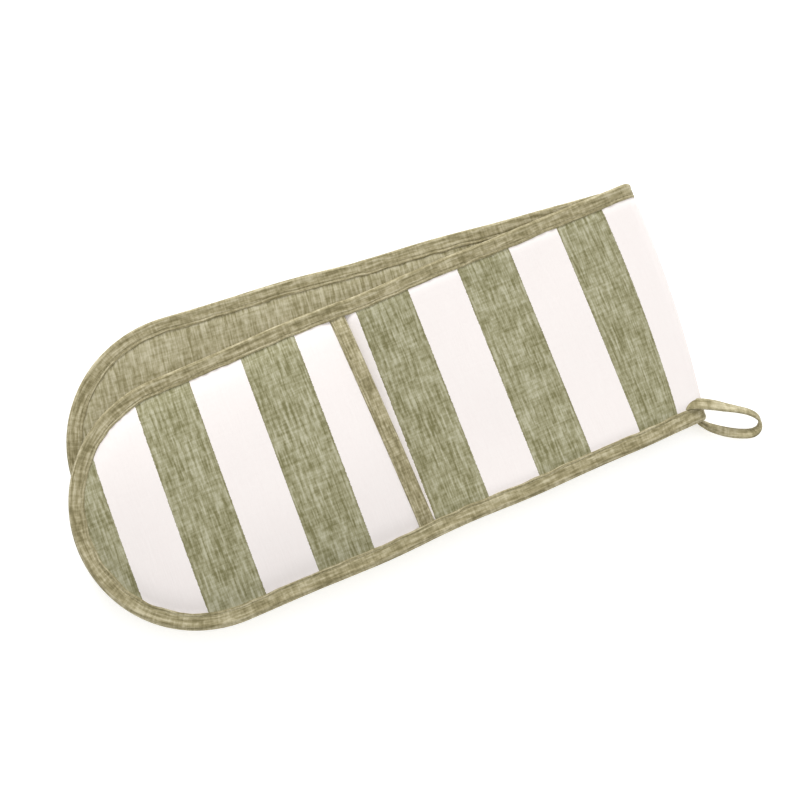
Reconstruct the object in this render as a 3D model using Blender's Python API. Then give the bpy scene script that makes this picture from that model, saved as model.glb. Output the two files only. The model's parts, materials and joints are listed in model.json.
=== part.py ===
"""Double oven glove: one long padded strip with a hand pocket at each end, folded in half.

The strip is drawn flat, as it is cut, and then laid along the folded path: lower leaf, round
fold, upper leaf. The fold is made a little off square, so the lower leaf peeks out beside the
upper one. Flat drawing: s runs from the crease to a rounded end, t runs across the strip.
Folded frame: the crease is parallel to Y, the leaves run towards -X, +Z is up.
"""
from math import cos, pi, radians, sin, sqrt

import bmesh
import bpy
from mathutils import Matrix, Vector

MM = 0.001

# Whole glove
GLOVE_WIDTH = 180.0 * MM
UPPER_LENGTH = 457.0 * MM        # crease to rounded end, along the outer cloth
LOWER_LENGTH = 447.0 * MM        # the fold is 5 mm off the middle
FOLD_SKEW = radians(3.3)         # each leaf turns this much from square to the crease
POCKET_DEPTH = 233.0 * MM        # rounded end to pocket mouth

# Plies and the room between them
OUTER_CLOTH = 0.6 * MM
LINING_CLOTH = 0.6 * MM
BODY_WADDING = 2.6 * MM
POCKET_WADDING = 1.8 * MM
PLY_GAP = 0.3 * MM
POCKET_HOLLOW = 6.4 * MM         # room for the hand at the middle of the pocket
MOUTH_HOLLOW = 5.5 * MM          # the same, where the mouth binding draws the pocket in
LEAF_CLEARANCE = 0.6 * MM        # between the bindings of the two leaves
FOLD_INNER_RADIUS = 3.6 * MM

# Binding tape and hanging loop
TAPE = 0.6 * MM
EDGE_BINDING_WIDTH = 11.5 * MM
MOUTH_BINDING_WIDTH = 13.0 * MM
LOOP_LENGTH = 29.0 * MM
LOOP_END_RADIUS = 8.4 * MM
LOOP_ROOT_RADIUS = 3.0 * MM
LOOP_TAPE_THICKNESS = 2.4 * MM
LOOP_TAPE_WIDTH = 9.0 * MM
LOOP_HOLE_START = 7.0 * MM
LOOP_HOLE_ROOT_RADIUS = 0.8 * MM
LOOP_STANDOFF = 1.6 * MM
LOOP_INSET = 0.5 * MM            # from the strip's long edge, along the crease
LOOP_HEADING = radians(-32.0)

# Shape of the puffed pocket and of the cut at the fold
PINCH_MARGIN = 1.5 * MM          # flat seam left inside the binding
PUFF_WIDTH = 32.0 * MM           # seam to full height
MOUTH_RISE = 26.0 * MM           # mouth binding to full height
STEP_CLEARANCE = 1.5 * MM        # mouth to the step down in the edge binding
STEP_LENGTH = 4.5 * MM
SAG_MARGIN = 5.0 * MM
CUT_GAP = 0.4 * MM

ARC_STEPS = 16
SAG_STEPS = 6
LOOP_ARC_STEPS = 10

# Worked out from the sizes above
WRAP = TAPE + PLY_GAP
PINCH_HOLLOW = TAPE + 2 * PLY_GAP
BODY_DEPTH = OUTER_CLOTH + BODY_WADDING + LINING_CLOTH + 2 * PLY_GAP
POCKET_PLIES = LINING_CLOTH + POCKET_WADDING + OUTER_CLOTH + 2 * PLY_GAP
POCKET_TOP = max(POCKET_HOLLOW + POCKET_PLIES, MOUTH_HOLLOW + POCKET_PLIES + WRAP)
PLY_HALF = GLOVE_WIDTH / 2 - WRAP
LIP_EDGE = GLOVE_WIDTH / 2 - EDGE_BINDING_WIDTH
SEAM_EDGE = LIP_EDGE - PINCH_MARGIN
FOLD_RADIUS = BODY_DEPTH + FOLD_INNER_RADIUS
FOLD_HEIGHT = FOLD_RADIUS + WRAP
QUARTER = FOLD_RADIUS * pi / 2
LEAF_GAP = 2 * WRAP + LEAF_CLEARANCE
LOWER_LEVEL = POCKET_TOP
UPPER_LEVEL = POCKET_TOP + 2 * BODY_DEPTH + LEAF_GAP
HINGE_REACH = FOLD_RADIUS * pi / 4

LEAVES = {"upper": (1, UPPER_LENGTH), "lower": (-1, LOWER_LENGTH)}


def smooth(value):
    """Ease from 0 to 1."""
    value = min(1.0, max(0.0, value))
    return value * value * (3 - 2 * value)


def mouth_place(length):
    return length - POCKET_DEPTH


def sag_length(length):
    """Stretch between the bend and the pocket mouth over which a leaf changes level."""
    nearest_mouth = mouth_place(length) * cos(FOLD_SKEW) - GLOVE_WIDTH / 2 * sin(FOLD_SKEW)
    return nearest_mouth - STEP_CLEARANCE - STEP_LENGTH - SAG_MARGIN - QUARTER


def profile(u):
    """Outer surface of the folded strip at distance u from the crease: x, z and its normal."""
    run = abs(u) - QUARTER
    side = 1 if u > 0 else -1
    if run <= 0:
        turn = u / FOLD_RADIUS
        return (FOLD_RADIUS * cos(turn), FOLD_HEIGHT + FOLD_RADIUS * sin(turn), cos(turn), sin(turn))
    length, level = (UPPER_LENGTH, UPPER_LEVEL) if side > 0 else (LOWER_LENGTH, LOWER_LEVEL)
    start = FOLD_HEIGHT + side * FOLD_RADIUS
    rise = level - start
    sag = sag_length(length)
    share = min(run / sag, 1.0)
    slope = rise / sag * 6 * share * (1 - share)
    shortening = 0.6 * rise * rise / sag * (10 * share ** 3 - 15 * share ** 4 + 6 * share ** 5)
    flat = sqrt(1 - slope * slope)
    return (-(run - shortening), start + rise * smooth(share), side * slope, side * flat)


def folded(side, s, t, height):
    """Place a point of the flat drawing on the folded glove, height out from the outer cloth."""
    skew = -FOLD_SKEW
    u = side * s * cos(skew) - t * sin(skew)
    v = side * s * sin(skew) + t * cos(skew)
    x, z, normal_x, normal_z = profile(u)
    return Vector((x + height * normal_x, v, z + height * normal_z))


def along_crease(side, distance, t):
    """Length s at which a line parallel to the crease, at this distance, crosses line t."""
    return (distance - side * t * sin(FOLD_SKEW)) / cos(FOLD_SKEW)


def crease_stations(length, cut):
    """Distances from the crease: the cut, the rest of the bend, then the sagging stretch."""
    bend = [cut, QUARTER * 3 / 4, QUARTER]
    sag = sag_length(length)
    return bend + [QUARTER + sag * (i + 1) / SAG_STEPS for i in range(SAG_STEPS)]


# Collections, materials and finished objects
for old in list(bpy.data.objects):
    bpy.data.objects.remove(old, do_unlink=True)

glove = bpy.data.collections.new("double_oven_glove")
bpy.context.scene.collection.children.link(glove)
pieces = []


def fabric(name, colour, roughness):
    material = bpy.data.materials.new(name)
    material.use_nodes = True
    shader = material.node_tree.nodes["Principled BSDF"]
    shader.inputs["Base Color"].default_value = (*colour, 1.0)
    shader.inputs["Roughness"].default_value = roughness
    shader.inputs["Metallic"].default_value = 0.0
    return material


STRIPED_CLOTH = fabric("striped_cotton", (0.62, 0.60, 0.47), 0.85)
SAGE_LINING = fabric("sage_lining", (0.36, 0.33, 0.20), 0.88)
BINDING_CLOTH = fabric("olive_binding", (0.34, 0.30, 0.17), 0.82)
WADDING = fabric("white_wadding", (0.82, 0.81, 0.77), 0.95)


def finish(name, bm, material, body):
    """Turn a bmesh into a named object of one body."""
    bmesh.ops.remove_doubles(bm, verts=bm.verts, dist=1e-6)
    bmesh.ops.recalc_face_normals(bm, faces=bm.faces)
    mesh = bpy.data.meshes.new(name)
    bm.to_mesh(mesh)
    bm.free()
    mesh.materials.append(material)
    mesh.shade_smooth()
    mesh.set_sharp_from_angle(angle=radians(35))
    piece = bpy.data.objects.new(name, mesh)
    glove.objects.link(piece)
    pieces.append((piece, body))
    return piece


def extruded_row(bm, row, places):
    """Extrude a row of edges to a new row of places."""
    fresh = bmesh.ops.extrude_edge_only(bm, edges=row)["geom"]
    verts = [item for item in fresh if isinstance(item, bmesh.types.BMVert)]
    for vert in verts:
        vert.co.x = places(vert.co.y)
    return [item for item in fresh if isinstance(item, bmesh.types.BMEdge)
            and item.verts[0] in verts and item.verts[1] in verts]


def thickened(bm, side, low, high):
    """Give the flat drawing two faces, and place both on the folded glove."""
    bmesh.ops.remove_doubles(bm, verts=bm.verts, dist=1e-6)
    bmesh.ops.recalc_face_normals(bm, faces=bm.faces)
    bmesh.ops.solidify(bm, geom=bm.faces, thickness=1.0)
    for vert in bm.verts:
        height = high if abs(vert.co.z) > 0.5 else low
        s, t = vert.co.x, vert.co.y
        vert.co = folded(side, s, t, height(s, t))


def flat_row(bm, offsets, s):
    verts = [bm.verts.new((s, t, 0.0)) for t in offsets]
    return [bm.edges.new(pair) for pair in zip(verts, verts[1:])]


def leaf_drawing(length, radii, rows):
    """Flat leaf: a row across, spun round the end and pulled to each row towards the crease."""
    bm = bmesh.new()
    centre = length - GLOVE_WIDTH / 2
    across = [-radius for radius in reversed(radii)] + [0.0] + list(radii)
    row = flat_row(bm, across, centre)
    half = [edge for edge in row if edge.verts[0].co.y + edge.verts[1].co.y > 0]
    bmesh.ops.spin(bm, geom=half, cent=(centre, 0, 0), axis=(0, 0, 1), angle=-pi,
                   steps=ARC_STEPS, use_duplicate=False)
    for places in rows:
        row = extruded_row(bm, row, places)
    return bm


def level(height):
    return lambda s, t: height


def body_ply(name, leaf, low, high, material):
    """One ply of the padded body of a leaf, from the rounded end to the cut in the bend."""
    side, length = LEAVES[leaf]
    cut = QUARTER / 2 + CUT_GAP / 2
    rows = [lambda t, d=distance: along_crease(side, d, t)
            for distance in reversed(crease_stations(length, cut))]
    bm = leaf_drawing(length, [PLY_HALF], rows)
    thickened(bm, side, level(low), level(high))
    finish(name, bm, material, leaf + "_leaf")


def pocket_hollow(length, s, t):
    """Room under the pocket at a place of the flat drawing."""
    centre = length - GLOVE_WIDTH / 2
    radius = abs(t) if s <= centre else sqrt((s - centre) ** 2 + t * t)
    from_mouth = s - mouth_place(length) - MOUTH_BINDING_WIDTH - PINCH_MARGIN
    full = MOUTH_HOLLOW + (POCKET_HOLLOW - MOUTH_HOLLOW) * smooth(from_mouth / MOUTH_RISE)
    return PINCH_HOLLOW + (full - PINCH_HOLLOW) * smooth((SEAM_EDGE - radius) / PUFF_WIDTH)


def puff_radii():
    """Offsets from the middle line where the puffed pocket is drawn."""
    return [SEAM_EDGE - PUFF_WIDTH, SEAM_EDGE - PUFF_WIDTH * 2 / 3, SEAM_EDGE - PUFF_WIDTH / 3, SEAM_EDGE]


def pocket_ply(name, leaf, low, high, material):
    """One ply of a pocket, low and high measured from the underside of the pocket."""
    side, length = LEAVES[leaf]
    mouth = mouth_place(length)
    lip = mouth + MOUTH_BINDING_WIDTH + PINCH_MARGIN
    rows = [lambda t, s=place: s for place in (lip + MOUTH_RISE, lip + MOUTH_RISE / 2, lip, mouth)]
    bm = leaf_drawing(length, puff_radii() + [PLY_HALF], rows)
    thickened(bm, side, lambda s, t: pocket_hollow(length, s, t) + low,
              lambda s, t: pocket_hollow(length, s, t) + high)
    finish(name, bm, material, leaf + "_leaf")


def channel(edge, lip, gap_wall, low, high):
    """Section of a folded tape: back at edge, two lips reaching to lip."""
    return [(edge, low), (edge, high), (lip, high), (lip, high - TAPE), (gap_wall, high - TAPE),
            (gap_wall, low + TAPE), (lip, low + TAPE), (lip, low)]


def loft(name, sections, material, body):
    """Skin a row of sections and close both ends."""
    bm = bmesh.new()
    rings = [[bm.verts.new(point) for point in section] for section in sections]
    count = len(rings[0])
    for ring, following in zip(rings, rings[1:]):
        for i in range(count):
            j = (i + 1) % count
            bm.faces.new((ring[i], ring[j], following[j], following[i]))
    bm.faces.new(rings[0])
    bm.faces.new(list(reversed(rings[-1])))
    finish(name, bm, material, body)


EDGE_LOW = -BODY_DEPTH - WRAP
POCKET_EDGE_HIGH = PINCH_HOLLOW + POCKET_PLIES + WRAP


def edge_section(high):
    return channel(GLOVE_WIDTH / 2, LIP_EDGE, PLY_HALF + PLY_GAP, EDGE_LOW, high)


def edge_binding(leaf):
    """Tape folded over the cut edge, from the fold round the end and back to the fold."""
    side, length = LEAVES[leaf]
    centre = length - GLOVE_WIDTH / 2
    mouth = mouth_place(length)
    cut = QUARTER / 2 + CUT_GAP / 2
    straight = [(lambda t, d=distance: along_crease(side, d, t), WRAP)
                for distance in crease_stations(length, cut)]
    straight += [(lambda t: mouth - STEP_CLEARANCE - STEP_LENGTH, WRAP),
                 (lambda t: mouth - STEP_CLEARANCE, POCKET_EDGE_HIGH)]

    def side_section(edge_sign, place, high):
        return [folded(side, place(edge_sign * radius), edge_sign * radius, height)
                for radius, height in edge_section(high)]

    sections = [side_section(1, place, high) for place, high in straight]
    for i in range(ARC_STEPS + 1):
        turn = pi / 2 - pi * i / ARC_STEPS
        sections.append([folded(side, centre + radius * cos(turn), radius * sin(turn), height)
                         for radius, height in edge_section(POCKET_EDGE_HIGH)])
    sections += [side_section(-1, place, high) for place, high in reversed(straight)]
    loft(leaf + "_edge_binding", sections, BINDING_CLOTH, leaf + "_leaf")


def mouth_binding(leaf):
    """Tape folded over the pocket's mouth, between the two edge bindings."""
    side, length = LEAVES[leaf]
    mouth = mouth_place(length)
    radii = puff_radii() + [LIP_EDGE - PLY_GAP]
    sections = []
    for t in [-radius for radius in reversed(radii)] + radii:
        hollow = pocket_hollow(length, mouth, t)
        outline = channel(mouth - WRAP, mouth - WRAP + MOUTH_BINDING_WIDTH, mouth - PLY_GAP,
                          hollow - WRAP, hollow + POCKET_PLIES + WRAP)
        sections.append([folded(side, s, t, height) for s, height in outline])
    loft(leaf + "_mouth_binding", sections, BINDING_CLOTH, leaf + "_leaf")


def fold_ply(name, low, high, material):
    """One ply of the strip between the two fold hinges."""
    reach = QUARTER / 2 - CUT_GAP / 2
    bm = bmesh.new()
    row = flat_row(bm, [-PLY_HALF, PLY_HALF], 0.0)
    for vert in bm.verts:
        vert.co.x = along_crease(1, -reach, vert.co.y)
    for distance in (-QUARTER / 4, 0.0, QUARTER / 4, reach):
        row = extruded_row(bm, row, lambda t, d=distance: along_crease(1, d, t))
    thickened(bm, 1, level(low), level(high))
    finish(name, bm, material, "fold")


def fold_binding(name, edge_sign):
    reach = QUARTER / 2 - CUT_GAP / 2
    sections = []
    for distance in (-reach, -QUARTER / 4, 0.0, QUARTER / 4, reach):
        sections.append([folded(1, along_crease(1, distance, edge_sign * radius), edge_sign * radius, height)
                         for radius, height in edge_section(WRAP)])
    loft(name, sections, BINDING_CLOTH, "fold")


def tapered_round(start, start_radius, end, end_radius):
    """Outline of two circles on one line joined by their outer tangents."""
    lean = (start_radius - end_radius) / (end - start)
    tangent = pi / 2 - lean
    points = []
    for i in range(LOOP_ARC_STEPS + 1):
        turn = -tangent + 2 * tangent * i / LOOP_ARC_STEPS
        points.append((end + end_radius * cos(turn), end_radius * sin(turn)))
    for i in range(LOOP_ARC_STEPS + 1):
        turn = tangent + 2 * (pi - tangent) * i / LOOP_ARC_STEPS
        points.append((start + start_radius * cos(turn), start_radius * sin(turn)))
    return points


def hanging_loop(root):
    """Doubled tape standing on its edge, both ends held at the fold's corner."""
    curve = bpy.data.curves.new("hanging_loop_outline", "CURVE")
    curve.dimensions = "2D"
    curve.fill_mode = "BOTH"
    curve.extrude = LOOP_TAPE_WIDTH / 2
    far = LOOP_LENGTH - LOOP_END_RADIUS
    outlines = [tapered_round(LOOP_ROOT_RADIUS, LOOP_ROOT_RADIUS, far, LOOP_END_RADIUS),
                tapered_round(LOOP_HOLE_START, LOOP_HOLE_ROOT_RADIUS, far,
                              LOOP_END_RADIUS - LOOP_TAPE_THICKNESS)]
    for points in outlines:
        spline = curve.splines.new("POLY")
        spline.points.add(len(points) - 1)
        for point, (x, y) in zip(spline.points, points):
            point.co = (x, y, 0.0, 1.0)
        spline.use_cyclic_u = True
    outline = bpy.data.objects.new("hanging_loop_outline", curve)
    glove.objects.link(outline)
    evaluated = outline.evaluated_get(bpy.context.evaluated_depsgraph_get())
    mesh = bpy.data.meshes.new_from_object(evaluated)
    bpy.data.objects.remove(outline, do_unlink=True)
    bm = bmesh.new()
    bm.from_mesh(mesh)
    bpy.data.meshes.remove(mesh)
    heading = Matrix.Rotation(LOOP_HEADING, 4, "Z")
    bmesh.ops.transform(bm, matrix=Matrix.Translation(root) @ heading, verts=bm.verts)
    finish("hanging_loop", bm, BINDING_CLOTH, "hanging_loop")


# Plies, counted in from the outer cloth
outer_ply = (-OUTER_CLOTH, 0.0)
wadding_ply = (-OUTER_CLOTH - PLY_GAP - BODY_WADDING, -OUTER_CLOTH - PLY_GAP)
lining_ply = (-BODY_DEPTH, -BODY_DEPTH + LINING_CLOTH)
pocket_lining_ply = (0.0, LINING_CLOTH)
pocket_wadding_ply = (LINING_CLOTH + PLY_GAP, LINING_CLOTH + PLY_GAP + POCKET_WADDING)
pocket_outer_ply = (POCKET_PLIES - OUTER_CLOTH, POCKET_PLIES)

for leaf_name in LEAVES:
    body_ply(leaf_name + "_outer_panel", leaf_name, *outer_ply, STRIPED_CLOTH)
    body_ply(leaf_name + "_wadding", leaf_name, *wadding_ply, WADDING)
    body_ply(leaf_name + "_lining", leaf_name, *lining_ply, SAGE_LINING)
    pocket_ply(leaf_name + "_pocket_lining", leaf_name, *pocket_lining_ply, SAGE_LINING)
    pocket_ply(leaf_name + "_pocket_wadding", leaf_name, *pocket_wadding_ply, WADDING)
    pocket_ply(leaf_name + "_pocket_outer", leaf_name, *pocket_outer_ply, STRIPED_CLOTH)
    edge_binding(leaf_name)
    mouth_binding(leaf_name)

fold_ply("fold_outer_panel", *outer_ply, STRIPED_CLOTH)
fold_ply("fold_wadding", *wadding_ply, WADDING)
fold_ply("fold_lining", *lining_ply, SAGE_LINING)
fold_binding("fold_binding_loop_side", -1)
fold_binding("fold_binding_far_side", 1)

loop_root = Vector((FOLD_HEIGHT + LOOP_STANDOFF, -GLOVE_WIDTH / 2 + LOOP_INSET, FOLD_HEIGHT))
hanging_loop(loop_root)

# The origin is under the middle of the whole glove; each piece turns about its body's hinge
corners = [vert.co for piece, _ in pieces for vert in piece.data.vertices]
low_corner = Vector([min(corner[axis] for corner in corners) for axis in range(3)])
high_corner = Vector([max(corner[axis] for corner in corners) for axis in range(3)])
origin = Vector(((low_corner.x + high_corner.x) / 2, (low_corner.y + high_corner.y) / 2, low_corner.z))
pivots = {
    "lower_leaf": origin,
    "fold": Vector((HINGE_REACH, 0.0, FOLD_HEIGHT - HINGE_REACH)),
    "upper_leaf": Vector((HINGE_REACH, 0.0, FOLD_HEIGHT + HINGE_REACH)),
    "hanging_loop": loop_root,
}
for piece, body in pieces:
    piece.data.transform(Matrix.Translation(-pivots[body]))
    piece.location = pivots[body] - origin
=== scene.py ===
"""Double oven glove in awning stripe, folded in half and laid flat: cloth, padding, tape and thread."""
import json
from math import cos, pi, radians, sin

import bmesh
import bpy
import numpy as np
from mathutils import Matrix, Vector


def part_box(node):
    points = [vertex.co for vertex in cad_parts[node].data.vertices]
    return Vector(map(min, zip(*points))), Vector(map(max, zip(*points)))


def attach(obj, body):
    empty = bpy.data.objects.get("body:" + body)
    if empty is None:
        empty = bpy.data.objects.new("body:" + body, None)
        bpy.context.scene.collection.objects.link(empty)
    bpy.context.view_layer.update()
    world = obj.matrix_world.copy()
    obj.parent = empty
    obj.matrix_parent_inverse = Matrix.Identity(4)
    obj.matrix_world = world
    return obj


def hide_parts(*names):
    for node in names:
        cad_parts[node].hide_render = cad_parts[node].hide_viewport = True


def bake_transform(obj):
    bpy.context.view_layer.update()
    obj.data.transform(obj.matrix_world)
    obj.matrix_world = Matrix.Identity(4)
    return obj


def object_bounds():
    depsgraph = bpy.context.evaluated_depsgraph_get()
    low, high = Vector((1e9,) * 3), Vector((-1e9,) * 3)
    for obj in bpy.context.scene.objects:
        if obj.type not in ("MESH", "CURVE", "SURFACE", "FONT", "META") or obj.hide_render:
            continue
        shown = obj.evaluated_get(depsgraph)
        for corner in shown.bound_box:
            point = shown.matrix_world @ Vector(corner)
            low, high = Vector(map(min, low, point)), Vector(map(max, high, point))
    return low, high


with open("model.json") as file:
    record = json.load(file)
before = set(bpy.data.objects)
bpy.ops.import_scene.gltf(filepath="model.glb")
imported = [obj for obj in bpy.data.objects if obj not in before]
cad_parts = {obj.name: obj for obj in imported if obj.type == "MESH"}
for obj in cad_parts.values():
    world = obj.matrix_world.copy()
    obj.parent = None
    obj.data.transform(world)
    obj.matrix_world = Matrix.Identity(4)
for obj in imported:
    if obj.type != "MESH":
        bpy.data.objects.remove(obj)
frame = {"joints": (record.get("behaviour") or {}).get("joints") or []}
cad_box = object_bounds()

# Camera and room. The glove is seen from almost straight above, a little from its long bound
# edge, on a white table under a broad white light.
LENS_MM = 63.0
CAMERA_DISTANCE = 0.976
CAMERA_LEAN = (-0.028, -0.168)
PICTURE_TURN = radians(20.35)
AIM = Vector((0.0022, -0.0038, 0.020))
EXPOSURE = 0.09
ROOM_LIGHT = 0.66

picture_right = Vector((cos(PICTURE_TURN), -sin(PICTURE_TURN), 0.0))
picture_up = Vector((sin(PICTURE_TURN), cos(PICTURE_TURN), 0.0))
tilt = picture_right * CAMERA_LEAN[0] + picture_up * CAMERA_LEAN[1]
towards_camera = (tilt + Vector((0, 0, 1))).normalized()
camera_right = (-towards_camera).cross(picture_up).normalized()
camera_up = towards_camera.cross(camera_right)
camera_data = bpy.data.cameras.new("camera")
camera_data.lens = LENS_MM
camera_data.clip_end = 20.0
camera = bpy.data.objects.new("camera", camera_data)
turned = Matrix((camera_right, camera_up, towards_camera)).transposed().to_4x4()
camera.matrix_world = Matrix.Translation(AIM + towards_camera * CAMERA_DISTANCE) @ turned
bpy.context.scene.collection.objects.link(camera)
bpy.context.scene.camera = camera

bpy.context.scene.view_settings.view_transform = "Standard"
bpy.context.scene.view_settings.exposure = EXPOSURE

world = bpy.data.worlds.new("white_room")
world.use_nodes = True
sky = world.node_tree.nodes["Background"]
sky.inputs["Color"].default_value = (1.0, 1.0, 1.0, 1.0)
sky.inputs["Strength"].default_value = ROOM_LIGHT
bpy.context.scene.world = world


def soft_light(name, place, size, power):
    """Square area light aimed at the glove."""
    data = bpy.data.lights.new(name, "AREA")
    data.size = size
    data.energy = power
    lamp = bpy.data.objects.new(name, data)
    aim = (AIM - Vector(place)).to_track_quat("-Z", "Y")
    lamp.matrix_world = Matrix.Translation(place) @ aim.to_matrix().to_4x4()
    bpy.context.scene.collection.objects.link(lamp)


soft_light("window", place=(0.4, 3.1, 1.2), size=1.5, power=80.0)
soft_light("fill", place=(1.2, -0.8, 1.5), size=1.6, power=4.0)


def srgb(red, green, blue):
    """Linear colour of a colour given as 0 to 255."""
    linear = []
    for value in (red, green, blue):
        value /= 255.0
        linear.append(value / 12.92 if value <= 0.04045 else ((value + 0.055) / 1.055) ** 2.4)
    return (*linear, 1.0)


TABLE_REACH = 12.0
TABLE_DROP = 0.0002              # keeps the table clear of the cloth that lies on it
TABLE_WHITE = (0.93, 0.93, 0.93, 1.0)
TABLE_GLOW = 0.4                 # a lit-from-below sheet, which leaves almost no shadow

table_mesh = bpy.data.meshes.new("table")
table_corners = [(x * TABLE_REACH, y * TABLE_REACH, 0) for x, y in ((-1, -1), (1, -1), (1, 1), (-1, 1))]
table_mesh.from_pydata(table_corners, [], [(0, 1, 2, 3)])
table = bpy.data.objects.new("table", table_mesh)
table.location.z = -TABLE_DROP
bpy.context.scene.collection.objects.link(table)
table_white = bpy.data.materials.new("table_white")
table_white.use_nodes = True
table_shader = table_white.node_tree.nodes["Principled BSDF"]
table_shader.inputs["Base Color"].default_value = TABLE_WHITE
table_shader.inputs["Emission Color"].default_value = (1.0, 1.0, 1.0, 1.0)
table_shader.inputs["Emission Strength"].default_value = TABLE_GLOW
table_shader.inputs["Roughness"].default_value = 0.9
table_mesh.materials.append(table_white)

# The folded strip. One long padded strip is folded in half, a little off square. Every ply is
# drawn flat, s along from the crease and t across, and laid on the folded path; height counts
# out from the outer cloth.
WIDTH = 0.180
LENGTHS = {"upper": 0.457, "lower": 0.447}
SKEW = radians(3.3)
BODY_DEPTH = 0.0044              # all plies of the strip
SAG_ROOM = 0.011                 # between the sagging stretch and the pocket mouth
POCKET_DEPTH = 0.231             # mouth to rounded end
PULL_REACH = 0.075               # how far from the crease its pull is felt

hinges = {joint["name"]: joint["pos_m"] for joint in frame["joints"]}
hinge_reach = (hinges["fold_upper"][2] - hinges["fold_lower"][2]) / 2
fold_radius = hinge_reach * 4 / pi
fold_x = hinges["fold_lower"][0] - hinge_reach
fold_y = hinges["fold_lower"][1]
fold_z = (hinges["fold_upper"][2] + hinges["fold_lower"][2]) / 2
quarter = fold_radius * pi / 2
upper_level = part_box("upper_outer_panel")[1][2]
levels = {"upper": upper_level, "lower": cad_box[1][2] - upper_level}
sides = {"upper": 1, "lower": -1}


def smooth(value):
    """Soft step from 0 to 1."""
    value = np.clip(value, 0.0, 1.0)
    return value * value * (3 - 2 * value)


def sway(place, wavelength, seed):
    """Smooth uneven wave along a line, about -1 to 1."""
    draw = np.random.default_rng(seed)
    total = np.zeros_like(place, dtype=float)
    for _ in range(6):
        total += np.sin(place * 2 * pi / wavelength * draw.uniform(0.6, 1.7) + draw.uniform(0, 2 * pi))
    return total / 3.2


def swell(s, t, wavelength, seed):
    """Smooth uneven wave over the flat drawing, about -1 to 1."""
    draw = np.random.default_rng(seed)
    total = np.zeros_like(s, dtype=float)
    for _ in range(7):
        heading = draw.uniform(0, pi)
        along = s * cos(heading) + t * sin(heading)
        total += np.sin(along * 2 * pi / wavelength * draw.uniform(0.7, 1.5) + draw.uniform(0, 2 * pi))
    return total / 3.6


def crease_pull(v):
    """The crease as it lies: pushed out towards the far side and drawn in at the loop's corner."""
    place = np.clip(v / (WIDTH / 2), -1.15, 1.15)
    return 0.00148 + 0.00653 * place - 0.00521 * place ** 2


def sag_length(leaf):
    """How far from the bend a leaf takes to reach its level."""
    mouth = LENGTHS[leaf] - POCKET_DEPTH
    return mouth * cos(SKEW) - WIDTH / 2 * sin(SKEW) - SAG_ROOM - quarter


def folded(leaf, s, t, height):
    """Places on the folded glove for places of the flat drawing, as an array of points."""
    side = sides[leaf]
    clear = smooth((s - 0.03) / 0.06)
    t = t + 0.0009 * clear * sway(s, 0.16, 11) * t / (WIDTH / 2)
    height = height + side * 0.0005 * clear * swell(s, t, 0.12, 5)
    u = side * s * cos(SKEW) + t * sin(SKEW)
    v = -side * s * sin(SKEW) + t * cos(SKEW)
    turn = np.clip(u, -quarter, quarter) / fold_radius
    run = np.maximum(side * u - quarter, 0.0)
    start = fold_z + side * fold_radius
    rise, sag = levels[leaf] - start, sag_length(leaf)
    share = np.clip(run / sag, 0.0, 1.0)
    slope = rise / sag * 6 * share * (1 - share)
    shorter = 0.6 * rise * rise / sag * (10 * share ** 3 - 15 * share ** 4 + 6 * share ** 5)
    on_bend = side * u <= quarter
    x = np.where(on_bend, fold_radius * np.cos(turn), -(run - shorter))
    z = np.where(on_bend, fold_z + fold_radius * np.sin(turn), start + rise * smooth(share))
    out_x = np.where(on_bend, np.cos(turn), side * slope)
    out_z = np.where(on_bend, np.sin(turn), side * np.sqrt(1 - slope * slope))
    x = x + crease_pull(v) * (1 - smooth(np.abs(u) / PULL_REACH))
    return np.stack([fold_x + x + height * out_x, fold_y + v, z + height * out_z], axis=-1)


EDGE_FLAT = 0.0105               # compressed and sewn under the binding
EDGE_SLOPE = 0.006               # from there to the pad's full thickness
PAD_EDGE = 0.0016                # the plies stop this far inside the back of the binding


def body_top(edge):
    """Height of the outer cloth, pressed down along its edge."""
    return -0.0007 * (1 - smooth((edge - EDGE_FLAT) / EDGE_SLOPE))


def body_under(edge):
    """Height of the lining, pressed up along its edge."""
    return -BODY_DEPTH + 0.0008 * (1 - smooth((edge - EDGE_FLAT) / EDGE_SLOPE))


def along_crease(leaf, distance, t):
    """Place s at a distance from the crease, which runs a little askew on the strip."""
    return (distance - sides[leaf] * t * sin(SKEW)) / cos(SKEW)


def u_path(leaf, first, step, from_crease):
    """Stations round a leaf: one long side, the rounded end, the other long side.

    Each is a function from distance in from the finished edge to s and t."""
    centre = LENGTHS[leaf] - WIDTH / 2
    count = int(round((centre - first) / step))
    arc_count = int(round(pi * WIDTH / 2 / step))
    stations = []

    def straight(edge_sign, share):
        def place(edge):
            t = edge_sign * (WIDTH / 2 - edge)
            near = along_crease(leaf, first, t) if from_crease else first
            return near + (centre - near) * share, t
        return place

    def turned_place(angle):
        def place(edge):
            radius = WIDTH / 2 - edge
            return centre + radius * cos(angle), radius * sin(angle)
        return place

    stations += [straight(1, i / count) for i in range(count)]
    stations += [turned_place(pi / 2 - pi * i / arc_count) for i in range(arc_count + 1)]
    stations += [straight(-1, i / count) for i in reversed(range(count))]
    return stations


# Rings of a pad, mm in from its edge, close together where the cloth turns down
RINGS = np.array([0.0, 1.6, 3.6, 5.6, 7.6, 9.2, 10.4, 11.4, 12.6, 14.4, 17, 20, 24, 29, 35, 42, 50, 59,
                  68.5, 78.4]) / 1000 + PAD_EDGE
RINGS = np.append(RINGS, WIDTH / 2)
PATH_STEP = 0.004


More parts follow.
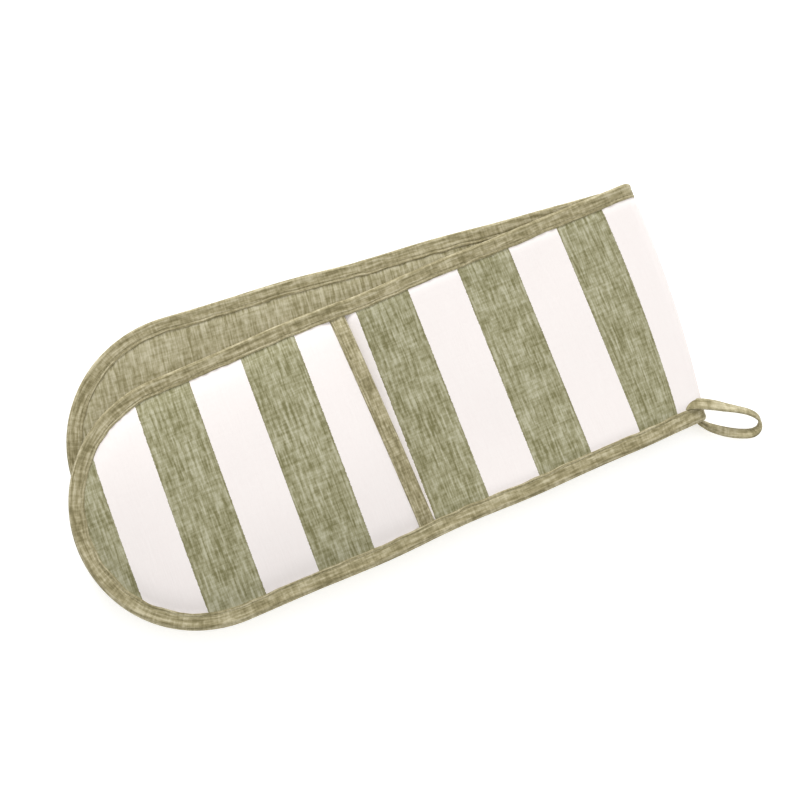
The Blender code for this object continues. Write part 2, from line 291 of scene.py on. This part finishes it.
def pad(leaf, first, from_crease, top, under):
    """Closed flat pad: two faces over the same grid, walled at the edge and at both ends."""
    stations = u_path(leaf, first, PATH_STEP, from_crease)
    ring_count, rows = len(RINGS), len(stations)
    s = np.zeros((rows, ring_count))
    t = np.zeros((rows, ring_count))
    for j, place in enumerate(stations):
        for i, edge in enumerate(RINGS):
            s[j, i], t[j, i] = place(edge)
    edge = np.broadcast_to(RINGS, s.shape)
    travel = np.arange(rows)[:, None] * PATH_STEP * np.ones_like(s)
    faces_high = np.stack([s, t, top(s, t, edge, travel)], axis=-1).reshape(-1, 3)
    faces_low = np.stack([s, t, under(s, t, edge, travel)], axis=-1).reshape(-1, 3)
    count = rows * ring_count
    faces, slots = [], []
    for j in range(rows - 1):
        for i in range(ring_count - 1):
            a, b = j * ring_count + i, (j + 1) * ring_count + i
            faces.append((a, a + 1, b + 1, b))
            slots.append(0)
            faces.append((count + a, count + b, count + b + 1, count + a + 1))
            slots.append(1)
        a, b = j * ring_count, (j + 1) * ring_count
        faces.append((a, b, count + b, count + a))
        slots.append(0)
    for j, flip in ((0, False), (rows - 1, True)):
        for i in range(ring_count - 1):
            a = j * ring_count + i
            wall = (a, count + a, count + a + 1, a + 1)
            faces.append(tuple(reversed(wall)) if flip else wall)
            slots.append(0)
    return np.concatenate([faces_high, faces_low]), faces, slots


def merged_mesh(name, points, faces, slots, uv, materials, smooth_angle=40):
    """Mesh with its doubles merged, cloth places in a UV map and faces pointing out."""
    mesh = bpy.data.meshes.new(name)
    mesh.from_pydata([tuple(point) for point in points], [], faces)
    mesh.polygons.foreach_set("material_index", slots)
    layer = mesh.uv_layers.new(name="cloth")
    corners = np.zeros(len(mesh.loops), dtype=np.int32)
    mesh.loops.foreach_get("vertex_index", corners)
    layer.data.foreach_set("uv", uv[corners].astype(np.float32).ravel())
    bm = bmesh.new()
    bm.from_mesh(mesh)
    bmesh.ops.remove_doubles(bm, verts=bm.verts, dist=2e-5)
    bmesh.ops.recalc_face_normals(bm, faces=bm.faces)
    bm.to_mesh(mesh)
    bm.free()
    for material in materials:
        mesh.materials.append(material)
    mesh.shade_smooth()
    mesh.set_sharp_from_angle(angle=radians(smooth_angle))
    piece = bpy.data.objects.new(name, mesh)
    bpy.context.scene.collection.objects.link(piece)
    return piece


def settled(points, faces, pinned, cap):
    """Blow a flat pad up as cloth under light pressure, held where pinned, and cap the movement."""
    mesh = bpy.data.meshes.new("settling")
    mesh.from_pydata([tuple(point) for point in points], [], faces)
    cloth = bpy.data.objects.new("settling", mesh)
    bpy.context.scene.collection.objects.link(cloth)
    group = cloth.vertex_groups.new(name="sewn")
    group.add([int(i) for i in np.flatnonzero(pinned)], 1.0, "REPLACE")
    modifier = cloth.modifiers.new("cloth", "CLOTH")
    settings = modifier.settings
    settings.vertex_group_mass = "sewn"
    settings.quality = 5
    settings.mass = 0.15
    settings.tension_stiffness = 12
    settings.compression_stiffness = 12
    settings.bending_stiffness = 0.4
    settings.shrink_min = -0.012
    settings.use_pressure = True
    settings.uniform_pressure_force = 4.0
    settings.effector_weights.gravity = 0.0
    modifier.collision_settings.use_collision = False
    scene = bpy.context.scene
    for number in range(1, 21):
        scene.frame_set(number)
    evaluated = cloth.evaluated_get(bpy.context.evaluated_depsgraph_get())
    moved = np.zeros(len(mesh.vertices) * 3)
    evaluated.data.vertices.foreach_get("co", moved)
    scene.frame_set(1)
    bpy.data.objects.remove(cloth, do_unlink=True)
    change = moved.reshape(-1, 3) - points
    size = np.linalg.norm(change, axis=1, keepdims=True)
    return points + change * np.minimum(1.0, cap / np.maximum(size, 1e-9))


# Slub cotton. The glove is sewn from plain-weave cotton with thick and thin yarns: off-white with
# woven sage stripes outside, plain sage inside. The stripe is centred on the crease.
STRIPE_HALF_AT_CREASE = 0.0240
STRIPE_PERIOD = 0.0785
STRIPE_SAGE = 0.0402
CLOTH_GRAIN = 0.047              # the cloth lies a little askew on the strip
DRAWN_IN = 0.0095                # cloth taken up by the crease
WHITE_YARN = ((248, 240, 237), (253, 247, 244))
SELVEDGE = 0.0009                # darker yarns along each side of a stripe
WEAVE_PITCH = 0.00062
WEAVE_RELIEF = 0.0003
# For each layer of yarns: share of the colour, yarns per metre over and along the strip,
# detail of the noise and its place
YARNS = {"weft": (0.44, 560.0, 44.0, 3.0, 3.1), "warp": (0.20, 52.0, 520.0, 3.0, 7.9),
         "cross": (0.20, 330.0, 240.0, 2.0, 12.3), "patch": (0.16, 70.0, 40.0, 2.0, 21.7)}


def slub_cloth(name, dark, middle, light, stripes):
    """Woven slub cotton on the cloth UV map, in metres; stripes are sage on off-white."""
    material = bpy.data.materials.new(name)
    material.use_nodes = True
    nodes, links = material.node_tree.nodes, material.node_tree.links
    shader = nodes["Principled BSDF"]
    shader.inputs["Roughness"].default_value = 0.86
    shader.inputs["Specular IOR Level"].default_value = 0.25
    shader.inputs["Sheen Weight"].default_value = 0.12
    shader.inputs["Sheen Roughness"].default_value = 0.6

    def math(kind, first, second=None):
        node = nodes.new("ShaderNodeMath")
        node.operation = kind
        for socket, value in zip(node.inputs, (first, second)):
            if value is None:
                continue
            if isinstance(value, (int, float)):
                socket.default_value = value
            else:
                links.new(value, socket)
        return node.outputs[0]

    def yarn_noise(across, along, detail, seed):
        mapping = nodes.new("ShaderNodeMapping")
        mapping.inputs["Scale"].default_value = (across, along, 1.0)
        mapping.inputs["Location"].default_value = (seed, seed * 1.7, 0.0)
        links.new(place.outputs["UV"], mapping.inputs["Vector"])
        noise = nodes.new("ShaderNodeTexNoise")
        noise.noise_dimensions = "2D"
        noise.inputs["Scale"].default_value = 1.0
        noise.inputs["Detail"].default_value = detail
        noise.inputs["Roughness"].default_value = 0.6
        links.new(mapping.outputs[0], noise.inputs["Vector"])
        return noise.outputs["Fac"]

    place = nodes.new("ShaderNodeUVMap")
    place.uv_map = "cloth"
    split = nodes.new("ShaderNodeSeparateXYZ")
    links.new(place.outputs["UV"], split.inputs[0])
    yarn = None
    for share, across, along, detail, seed in YARNS.values():
        part = math("MULTIPLY", yarn_noise(across, along, detail, seed), share)
        yarn = part if yarn is None else math("ADD", yarn, part)
    ramp = nodes.new("ShaderNodeValToRGB")
    ramp.color_ramp.elements[0].position = 0.40
    ramp.color_ramp.elements[0].color = srgb(*dark)
    ramp.color_ramp.elements[1].position = 0.62
    ramp.color_ramp.elements[1].color = srgb(*light)
    ramp.color_ramp.elements.new(0.5).color = srgb(*middle)
    links.new(yarn, ramp.inputs["Fac"])
    colour = ramp.outputs["Color"]

    if stripes:
        ragged = math("MULTIPLY", math("SUBTRACT", yarn_noise(30.0, 900.0, 1.0, 31.0), 0.5), 0.0009)
        from_crease = math("ADD", math("ABSOLUTE", split.outputs["X"]), ragged)
        from_stripe = math("SUBTRACT", from_crease, STRIPE_HALF_AT_CREASE)
        phase = math("FLOORED_MODULO", from_stripe, STRIPE_PERIOD)
        in_sage = math("LESS_THAN", phase, STRIPE_SAGE)
        near_side = math("MINIMUM", phase, math("ABSOLUTE", math("SUBTRACT", phase, STRIPE_SAGE)))
        selvedge = math("MULTIPLY", math("LESS_THAN", near_side, SELVEDGE), 0.35)
        white = nodes.new("ShaderNodeMix")
        white.data_type = "RGBA"
        white.inputs["A"].default_value = srgb(*WHITE_YARN[0])
        white.inputs["B"].default_value = srgb(*WHITE_YARN[1])
        links.new(yarn, white.inputs["Factor"])
        edged = nodes.new("ShaderNodeMix")
        edged.data_type = "RGBA"
        edged.inputs["B"].default_value = srgb(*dark)
        links.new(selvedge, edged.inputs["Factor"])
        links.new(colour, edged.inputs["A"])
        both = nodes.new("ShaderNodeMix")
        both.data_type = "RGBA"
        links.new(in_sage, both.inputs["Factor"])
        links.new(white.outputs["Result"], both.inputs["A"])
        links.new(edged.outputs["Result"], both.inputs["B"])
        colour = both.outputs["Result"]
    links.new(colour, shader.inputs["Base Color"])

    over = math("SINE", math("MULTIPLY", split.outputs["X"], 2 * pi / WEAVE_PITCH))
    under = math("SINE", math("MULTIPLY", split.outputs["Y"], 2 * pi / WEAVE_PITCH))
    weave = math("MULTIPLY", over, under)
    relief = math("ADD", math("MULTIPLY", weave, 0.25), math("MULTIPLY", yarn, 2.0))
    bump = nodes.new("ShaderNodeBump")
    bump.inputs["Strength"].default_value = 0.45
    bump.inputs["Distance"].default_value = WEAVE_RELIEF
    links.new(relief, bump.inputs["Height"])
    links.new(bump.outputs["Normal"], shader.inputs["Normal"])
    return material


striped_cotton = slub_cloth("striped_cotton", (125, 121, 82), (160, 156, 122), (193, 190, 162), True)
sage_lining = slub_cloth("sage_lining", (138, 130, 93), (171, 163, 130), (199, 192, 163), False)
olive_tape = slub_cloth("olive_tape", (128, 119, 83), (164, 154, 118), (203, 194, 162), False)

# Padded body. Two leaves of one strip: striped cotton outside, wadding, sage lining inside, all
# sewn down under the binding. Each half runs from the crease round to its rounded end.
SEWN_EDGE = 0.0115               # nothing puffs outside this line of stitches
CREASE_REACH = 0.03              # the strip is held this far from the crease
GATHER = 0.00028


def ripples(edge, travel, seed, reach_in=0.012, wavelength=0.011):
    """Small gathers square to the binding, dying away into the pad."""
    fade = np.exp(-np.maximum(edge - EDGE_FLAT, 0.0) / reach_in) * smooth((edge - 0.006) / 0.004)
    return GATHER * fade * sway(travel, wavelength, seed)


def make_body(leaf, seed):
    """One half of the strip, from the crease to its rounded end."""
    def top(s, t, edge, travel):
        open_part = smooth((LENGTHS[leaf] - POCKET_DEPTH - s) / 0.02) * smooth(s / CREASE_REACH)
        return body_top(edge) + open_part * ripples(edge, travel, seed)

    def under(s, t, edge, travel):
        return body_under(edge) - smooth(s / CREASE_REACH) * ripples(edge, travel, seed + 1)

    points, faces, slots = pad(leaf, 0.0, True, top, under)
    edge = np.tile(RINGS, len(points) // len(RINGS))
    pinned = (edge < SEWN_EDGE) | (points[:, 0] < CREASE_REACH)
    points = settled(points, faces, pinned, 0.0006)
    drawn = DRAWN_IN * (1 - smooth(points[:, 0] / 0.07))
    pattern = points[:, 0] - drawn + points[:, 1] * CLOTH_GRAIN
    uv = np.stack([sides[leaf] * pattern, points[:, 1]], axis=-1)
    placed = folded(leaf, points[:, 0], points[:, 1], points[:, 2])
    piece = merged_mesh(leaf + "_body", placed, faces, slots, uv, [striped_cotton, sage_lining])
    return piece


bend_starts = {"upper": (fold_x - 0.011, fold_y, fold_z + 0.0055),
               "lower": (fold_x - 0.011, fold_y, fold_z - 0.0055)}
upper_body = make_body("upper", 101)
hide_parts("upper_outer_panel", "upper_wadding", "upper_lining",
            "fold_outer_panel", "fold_wadding", "fold_lining")
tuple(bend_starts["upper"])
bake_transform(upper_body)
lower_body = make_body("lower", 111)
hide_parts("lower_outer_panel", "lower_wadding", "lower_lining")
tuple(bend_starts["lower"])
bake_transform(lower_body)

# Hand pockets. A second padded piece lies over the far half of each leaf, striped outside and
# lined inside. It is caught in the edge binding all round and stands open at its bound mouth.
MOUTH_HOLLOW = 0.0052            # room for the hand under the mouth binding, and further in
POCKET_HOLLOW = 0.0060
POCKET_PLIES = 0.0036
PUFF_START = 0.0115
POCKET_STRIPE_SHIFT = 0.0052
POCKET_EASE = 0.9887             # the puffed pocket shows its cloth a little stretched


def pocket_under(leaf, s, edge):
    """Height of the pocket's lining, which rises in a low dome over the strip."""
    from_mouth = s - (LENGTHS[leaf] - POCKET_DEPTH) - 0.0145
    full = MOUTH_HOLLOW + (POCKET_HOLLOW - MOUTH_HOLLOW) * smooth(from_mouth / 0.026)
    inward = np.clip((edge - PUFF_START) / (WIDTH / 2 - PUFF_START), 0.0, 1.0)
    dome = (1 - (1 - inward) ** 2.4) * smooth(inward / 0.16)
    return body_top(0.0) + 0.0002 + (full + 0.0005) * dome


def pocket_top(leaf, s, edge):
    """Height of the pocket's outer cloth, pressed thin along its edge."""
    depth = 0.0018 + (POCKET_PLIES - 0.0018) * smooth((edge - EDGE_FLAT) / 0.008)
    return pocket_under(leaf, s, edge) + depth


def make_pocket(leaf, seed):
    mouth = LENGTHS[leaf] - POCKET_DEPTH

    def top(s, t, edge, travel):
        past_binding = smooth((s - mouth - 0.012) / 0.02)
        return pocket_top(leaf, s, edge) + ripples(edge, travel, seed) * past_binding

    def under(s, t, edge, travel):
        return pocket_under(leaf, s, edge)

    points, faces, slots = pad(leaf, mouth + 0.0012, False, top, under)
    edge = np.tile(RINGS, len(points) // len(RINGS))
    pinned = (edge < SEWN_EDGE) | (points[:, 0] < mouth + 0.0125)
    points = settled(points, faces, pinned, 0.0008)
    pattern = points[:, 0] * POCKET_EASE + points[:, 1] * CLOTH_GRAIN - POCKET_STRIPE_SHIFT
    uv = np.stack([sides[leaf] * pattern, points[:, 1] + 0.31], axis=-1)
    placed = folded(leaf, points[:, 0], points[:, 1], points[:, 2])
    piece = merged_mesh(leaf + "_pocket", placed, faces, slots, uv, [striped_cotton, sage_lining])
    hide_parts(leaf + "_pocket_outer", leaf + "_pocket_wadding", leaf + "_pocket_lining")
    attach(piece, leaf + "_leaf")


make_pocket("upper", 121)
make_pocket("lower", 131)

# Edge binding. Straight-cut sage tape, its raw edges turned in, is folded over the cut edge of
# every ply and sewn through; it gathers slightly between stitches. Each half ends at the crease.
TAPE_STEP = 0.0025
TAPE_LIP_MM = 11.5
# One lip from its raw edge to the back: mm in from the finished edge, and mm above the cloth,
# with the stitched groove at GROOVE
LIP_EDGES = np.array([11.6, 11.5, 11.2, 10.6, 9.9, 9.4, 8.9, 8.0, 6.6, 5.0, 3.6, 2.6]) / 1000
LIP_RISE = np.array([-0.15, 0.30, 0.62, 0.80, 0.70, 0.36, 0.66, 0.80, 0.78, 0.84, 1.15, 1.25]) / 1000
GROOVE = 5
BACK_STEPS = 7
TAPE_THICKNESS = 0.00045
THREAD_LIFT = 0.00010
GATHER_PULL = 0.00012            # how unevenly the tape is drawn in between stitches


def tape_section(edges, rises, top, under):
    """Section of a folded tape: outer lip, rounded back, inner lip, as distance in and height."""
    high = top(edges) + rises
    low = under(edges) - rises
    middle, half = (high[-1] + low[-1]) / 2, (high[-1] - low[-1]) / 2
    angles = np.linspace(pi / 2, -pi / 2, BACK_STEPS + 2)[1:-1]
    back_edge = edges[-1] * (1 - np.cos(angles))
    distance = np.concatenate([edges, back_edge, edges[::-1]])
    height = np.concatenate([high, middle + half * np.sin(angles), low[::-1]])
    return distance, height


def mouth_bump(leaf, s):
    """Extra height where the edge binding passes over the end of the mouth binding."""
    past = s - (LENGTHS[leaf] - POCKET_DEPTH)
    return 0.0010 * smooth((past + 0.004) / 0.004) * (1 - smooth((past - 0.011) / 0.006))


def cloth_shift(name):
    """Start each tape at its own place on the cloth."""
    return sum(map(ord, name)) % 97 * 0.013


def tape_mesh(name, points, rows, across):
    """Skin of a folded tape, given its thickness by a modifier."""
    faces = []
    for j in range(rows - 1):
        for i in range(across - 1):
            a, b = j * across + i, (j + 1) * across + i
            faces.append((a, b, b + 1, a + 1))
    travel = np.repeat(np.arange(rows) * TAPE_STEP, across)
    measure = np.tile(np.arange(across) * 0.0012, rows)
    uv = np.stack([measure + cloth_shift(name), travel], axis=-1)
    piece = merged_mesh(name, points, faces, [0] * len(faces), uv, [olive_tape], 60)
    wall = piece.modifiers.new("wall", "SOLIDIFY")
    wall.thickness = TAPE_THICKNESS
    wall.offset = -1.0
    return piece


def groove_lines(rows, index):
    """The stitched groove on both lips of a tape, with the thread just proud of the cloth."""
    high = np.array([row[index] for row in rows])
    low = np.array([row[len(row) - 1 - index] for row in rows])
    out = (high - low) / np.linalg.norm(high - low, axis=1, keepdims=True)
    return [high + out * THREAD_LIFT, low - out * THREAD_LIFT]


def make_edge_binding(leaf, seed):
    """Binding of one half of the strip, with the lines of its stitches."""
    mouth = LENGTHS[leaf] - POCKET_DEPTH
    stations = u_path(leaf, 0.0, TAPE_STEP, True)
    rows = []
    for j, place in enumerate(stations):
        s_edge, t_edge = place(0.006)
        over = float(smooth((s_edge - mouth + 0.006) / 0.006))

        def top(edge):
            outer_cloth = body_top(edge) * (1 - over) + over * pocket_top(leaf, s_edge, edge)
            return outer_cloth + mouth_bump(leaf, s_edge)

        distance, height = tape_section(LIP_EDGES, LIP_RISE, top, body_under)
        settle_in = float(smooth(s_edge / 0.02))
        travel = np.array([j * TAPE_STEP])
        pull = GATHER_PULL * sway(travel, 0.009, seed)[0] * settle_in
        wander = 0.00035 * sway(travel, 0.03, seed + 3)[0] * settle_in
        middle = (height.max() + height.min()) / 2
        height = height + np.sign(height - middle) * pull
        distance = distance + wander * smooth((distance - 0.006) / 0.004)
        flat = [place(value) for value in distance]
        s = np.array([value[0] for value in flat])
        t = np.array([value[1] for value in flat])
        rows.append(folded(leaf, s, t, height))
    piece = tape_mesh(leaf + "_edge_tape", np.concatenate(rows), len(rows), len(rows[0]))
    return piece, groove_lines(rows, GROOVE)


upper_tape, upper_thread_lines = make_edge_binding("upper", 201)
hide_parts("upper_edge_binding", "fold_binding_far_side")
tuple(bend_starts["upper"])
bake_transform(upper_tape)
lower_tape, lower_thread_lines = make_edge_binding("lower", 211)
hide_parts("lower_edge_binding", "fold_binding_loop_side")
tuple(bend_starts["lower"])
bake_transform(lower_tape)

# Mouth binding. The same tape, folded over the pocket's open edge. Its two ends
# run in under the edge binding.
MOUTH_LIP_MM = 11.3
MOUTH_LIP_EDGES = LIP_EDGES * MOUTH_LIP_MM / TAPE_LIP_MM
MOUTH_END = 0.0085               # in from the strip's finished edge
MOUTH_ROWS = 76


def make_mouth_binding(leaf, seed):
    """Binding of one pocket mouth; returns the lines of its stitches."""
    mouth = LENGTHS[leaf] - POCKET_DEPTH
    rows = []
    across_half = WIDTH / 2 - MOUTH_END
    for t in np.linspace(-across_half, across_half, MOUTH_ROWS):
        edge_in = WIDTH / 2 - abs(t)

        def top(distance):
            return pocket_top(leaf, mouth + 0.006, np.full_like(distance, edge_in))

        def under(distance):
            return pocket_under(leaf, mouth + 0.006, np.full_like(distance, edge_in))

        distance, height = tape_section(MOUTH_LIP_EDGES, LIP_RISE, top, under)
        pull = GATHER_PULL * sway(np.array([t]), 0.009, seed)[0]
        middle = (height.max() + height.min()) / 2
        room = body_top(edge_in) + 0.0001
        height = np.maximum(height + np.sign(height - middle) * pull, room)
        rows.append(folded(leaf, mouth + distance, np.full_like(distance, t), height))
    piece = tape_mesh(leaf + "_mouth_tape", np.concatenate(rows), len(rows), len(rows[0]))
    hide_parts(leaf + "_mouth_binding")
    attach(piece, leaf + "_leaf")
    return groove_lines(rows, GROOVE)


upper_mouth_lines = make_mouth_binding("upper", 221)
lower_mouth_lines = make_mouth_binding("lower", 231)

# Hanging loop. A doubled strip of the binding cloth, topstitched, its two ends caught in the
# binding at one corner of the fold. It stands on its edge and leans a little.
LOOP_HEADING = radians(-32.0)
LOOP_TAPE_WIDTH = 0.0088
LOOP_TAPE_THICKNESS = 0.0019
LOOP_ROWS = 130
# Middle of the strip from one sewn end to the other: mm ahead, to the left and up from the pin of
# its swing, and lean in degrees
LOOP_LINE = [(-29.0, -2.0, 2.0, 70), (-24.6, 0.0, 7.2, 72), (-16.1, 1.9, 7.8, 66),
             (-7.0, 3.2, 5.6, 58), (1.6, 4.1, 2.4, 48), (10.0, 4.7, 0.8, 38),
             (18.1, 4.6, 0.3, 36), (24.0, 3.2, 0.0, 36), (27.2, 0.2, -0.2, 38),
             (27.6, -4.4, -0.5, 44), (25.0, -8.4, -0.8, 50), (20.1, -10.7, -1.0, 54),
             (12.5, -12.0, -1.4, 56), (4.5, -12.3, -1.8, 56), (-2.0, -11.9, -2.2, 52),
             (-8.0, -10.9, -2.8, 44), (-14.9, -8.2, -3.6, 34), (-20.0, -4.0, -4.0, 26)]
# Section of the strip in shares of its width and thickness, with its topstitched grooves
SECTION = [(-0.5, -0.30), (-0.49, 0.30), (-0.44, 0.50), (-0.36, 0.44), (-0.30, 0.52),
           (-0.1, 0.56), (0.1, 0.56), (0.30, 0.52), (0.36, 0.44), (0.44, 0.50),
           (0.49, 0.30), (0.5, -0.30), (0.44, -0.50), (0.36, -0.44), (0.30, -0.52),
           (0.1, -0.56), (-0.1, -0.56), (-0.30, -0.52), (-0.36, -0.44), (-0.44, -0.50)]

loop_root = Vector(hinges["loop_swing"])
ahead = Vector((cos(LOOP_HEADING), sin(LOOP_HEADING), 0.0))
aside = Vector((-sin(LOOP_HEADING), cos(LOOP_HEADING), 0.0))


def smooth_line(points, count):
    """Catmull-Rom curve through given points, evenly numbered."""
    points = np.array(points, dtype=float)
    padded = np.vstack([2 * points[0] - points[1], points, 2 * points[-1] - points[-2]])
    result = []
    for k in np.linspace(0, len(points) - 1, count):
        i = min(int(k), len(points) - 2)
        f = k - i
        a, b, c, d = padded[i:i + 4]
        result.append(0.5 * (2 * b + (c - a) * f + (2 * a - 5 * b + 4 * c - d) * f ** 2
                             + (3 * b - a - 3 * c + d) * f ** 3))
    return np.array(result)


loop_line = smooth_line(LOOP_LINE, LOOP_ROWS)
loop_points = []
for k, (forward, left, up, lean) in enumerate(loop_line):
    step = loop_line[min(k + 1, len(loop_line) - 1)] - loop_line[max(k - 1, 0)]
    tangent = (ahead * step[0] + aside * step[1] + Vector((0, 0, step[2]))).normalized()
    lean = radians(lean)
    broad = Vector((0, 0, 1)) * cos(lean) - aside * sin(lean)
    broad = (broad - tangent * broad.dot(tangent)).normalized()
    thin = tangent.cross(broad)
    middle = loop_root + (ahead * forward + aside * left + Vector((0, 0, up))) / 1000
    for across, through in SECTION:
        place = middle + broad * across * LOOP_TAPE_WIDTH
        loop_points.append(place + thin * through * LOOP_TAPE_THICKNESS)
ring = len(SECTION)
loop_faces = []
for k in range(len(loop_line) - 1):
    for i in range(ring):
        j = (i + 1) % ring
        loop_faces.append((k * ring + i, k * ring + j, (k + 1) * ring + j, (k + 1) * ring + i))
loop_faces.append(tuple(range(ring)))
loop_faces.append(tuple(reversed(range((len(loop_line) - 1) * ring, len(loop_line) * ring))))
loop_uv = np.stack([np.tile(np.arange(ring) * 0.0009, len(loop_line)) + 0.5,
                    np.repeat(np.arange(len(loop_line)) * 0.001, ring)], axis=-1)
loop_tape = merged_mesh("loop_tape", loop_points, loop_faces, [0] * len(loop_faces), loop_uv,
                        [olive_tape], 50)
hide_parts("hanging_loop")
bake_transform(loop_tape)

# Stitching. One row of sage thread runs along the inner edge of every binding, through all plies,
# and two rows run along the loop. Each stitch is a small bead of thread in the tape's groove.
STITCH_PITCH, STITCH_LENGTH = 0.0030, 0.0024
LOOP_STITCH_PITCH, LOOP_STITCH_LENGTH = 0.0026, 0.0020
THREAD_RADIUS = 0.00020
LOOP_GROOVES = (3, 8, 13, 18)    # places in the loop's section
sage_thread = bpy.data.materials.new("sage_thread")
sage_thread.use_nodes = True
thread_shader = sage_thread.node_tree.nodes["Principled BSDF"]
thread_shader.inputs["Base Color"].default_value = srgb(176, 168, 132)
thread_shader.inputs["Roughness"].default_value = 0.7

row_nodes = bpy.data.node_groups.new("stitch_row", "GeometryNodeTree")
face = row_nodes.interface
face.new_socket("Geometry", in_out="INPUT", socket_type="NodeSocketGeometry")
stitch_sockets = {}
for name, value in (("Pitch", STITCH_PITCH), ("Stitch Length", STITCH_LENGTH),
                    ("Thread Radius", THREAD_RADIUS)):
    socket = face.new_socket(name, in_out="INPUT", socket_type="NodeSocketFloat")
    socket.default_value = value
    stitch_sockets[name] = socket.identifier
thread_socket = face.new_socket("Thread", in_out="INPUT", socket_type="NodeSocketMaterial")
stitch_sockets["Thread"] = thread_socket.identifier
face.new_socket("Geometry", in_out="OUTPUT", socket_type="NodeSocketGeometry")
new, link = row_nodes.nodes.new, row_nodes.links.new
row_in, row_out = new("NodeGroupInput"), new("NodeGroupOutput")
to_curve, resample = new("GeometryNodeMeshToCurve"), new("GeometryNodeResampleCurve")
resample.mode = "LENGTH"
bead, place_beads = new("GeometryNodeMeshUVSphere"), new("GeometryNodeInstanceOnPoints")
bead.inputs["Segments"].default_value = 6
bead.inputs["Rings"].default_value = 5
bead.inputs["Radius"].default_value = 1.0
tangent_field, align = new("GeometryNodeInputTangent"), new("FunctionNodeAlignRotationToVector")
align.axis = "Z"
half, bead_size = new("ShaderNodeMath"), new("ShaderNodeCombineXYZ")
half.operation = "MULTIPLY"
half.inputs[1].default_value = 0.5
realize, paint = new("GeometryNodeRealizeInstances"), new("GeometryNodeSetMaterial")
link(row_in.outputs["Geometry"], to_curve.inputs[0])
link(to_curve.outputs[0], resample.inputs["Curve"])
link(row_in.outputs["Pitch"], resample.inputs["Length"])
link(resample.outputs[0], place_beads.inputs["Points"])
link(bead.outputs["Mesh"], place_beads.inputs["Instance"])
link(tangent_field.outputs[0], align.inputs["Vector"])
link(align.outputs[0], place_beads.inputs["Rotation"])
link(row_in.outputs["Stitch Length"], half.inputs[0])
link(row_in.outputs["Thread Radius"], bead_size.inputs["X"])
link(row_in.outputs["Thread Radius"], bead_size.inputs["Y"])
link(half.outputs[0], bead_size.inputs["Z"])
link(bead_size.outputs[0], place_beads.inputs["Scale"])
link(place_beads.outputs[0], realize.inputs[0])
link(realize.outputs[0], paint.inputs["Geometry"])
link(row_in.outputs["Thread"], paint.inputs["Material"])
link(paint.outputs[0], row_out.inputs[0])


def stitch_rows(name, lines, pitch, length):
    """Rows of stitches along lines of points, as a plain mesh."""
    points, edges = [], []
    for line in lines:
        start = len(points)
        points += [tuple(point) for point in line]
        edges += [(start + i, start + i + 1) for i in range(len(line) - 1)]
    path = bpy.data.meshes.new(name + "_path")
    path.from_pydata(points, edges, [])
    rows = bpy.data.objects.new(name + "_path", path)
    bpy.context.scene.collection.objects.link(rows)
    modifier = rows.modifiers.new("stitches", "NODES")
    modifier.node_group = row_nodes
    modifier[stitch_sockets["Pitch"]] = pitch
    modifier[stitch_sockets["Stitch Length"]] = length
    modifier[stitch_sockets["Thread"]] = sage_thread
    bpy.context.view_layer.update()
    evaluated = rows.evaluated_get(bpy.context.evaluated_depsgraph_get())
    mesh = bpy.data.meshes.new_from_object(evaluated)
    mesh.name = name
    bpy.data.objects.remove(rows, do_unlink=True)
    mesh.shade_smooth()
    piece = bpy.data.objects.new(name, mesh)
    bpy.context.scene.collection.objects.link(piece)
    return piece


for leaf, lines, mouth_lines in (("upper", upper_thread_lines, upper_mouth_lines),
                                 ("lower", lower_thread_lines, lower_mouth_lines)):
    edge_rows = stitch_rows(leaf + "_edge_stitches", lines, STITCH_PITCH, STITCH_LENGTH)
    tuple(bend_starts[leaf])
    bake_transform(edge_rows)
    mouth_rows = stitch_rows(leaf + "_mouth_stitches", mouth_lines, STITCH_PITCH, STITCH_LENGTH)
    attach(mouth_rows, leaf + "_leaf")
loop_grid = np.array([tuple(point) for point in loop_points]).reshape(-1, ring, 3)
loop_rows = stitch_rows("loop_stitches", [loop_grid[4:-4, index] for index in LOOP_GROOVES],
                        LOOP_STITCH_PITCH, LOOP_STITCH_LENGTH)
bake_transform(loop_rows)
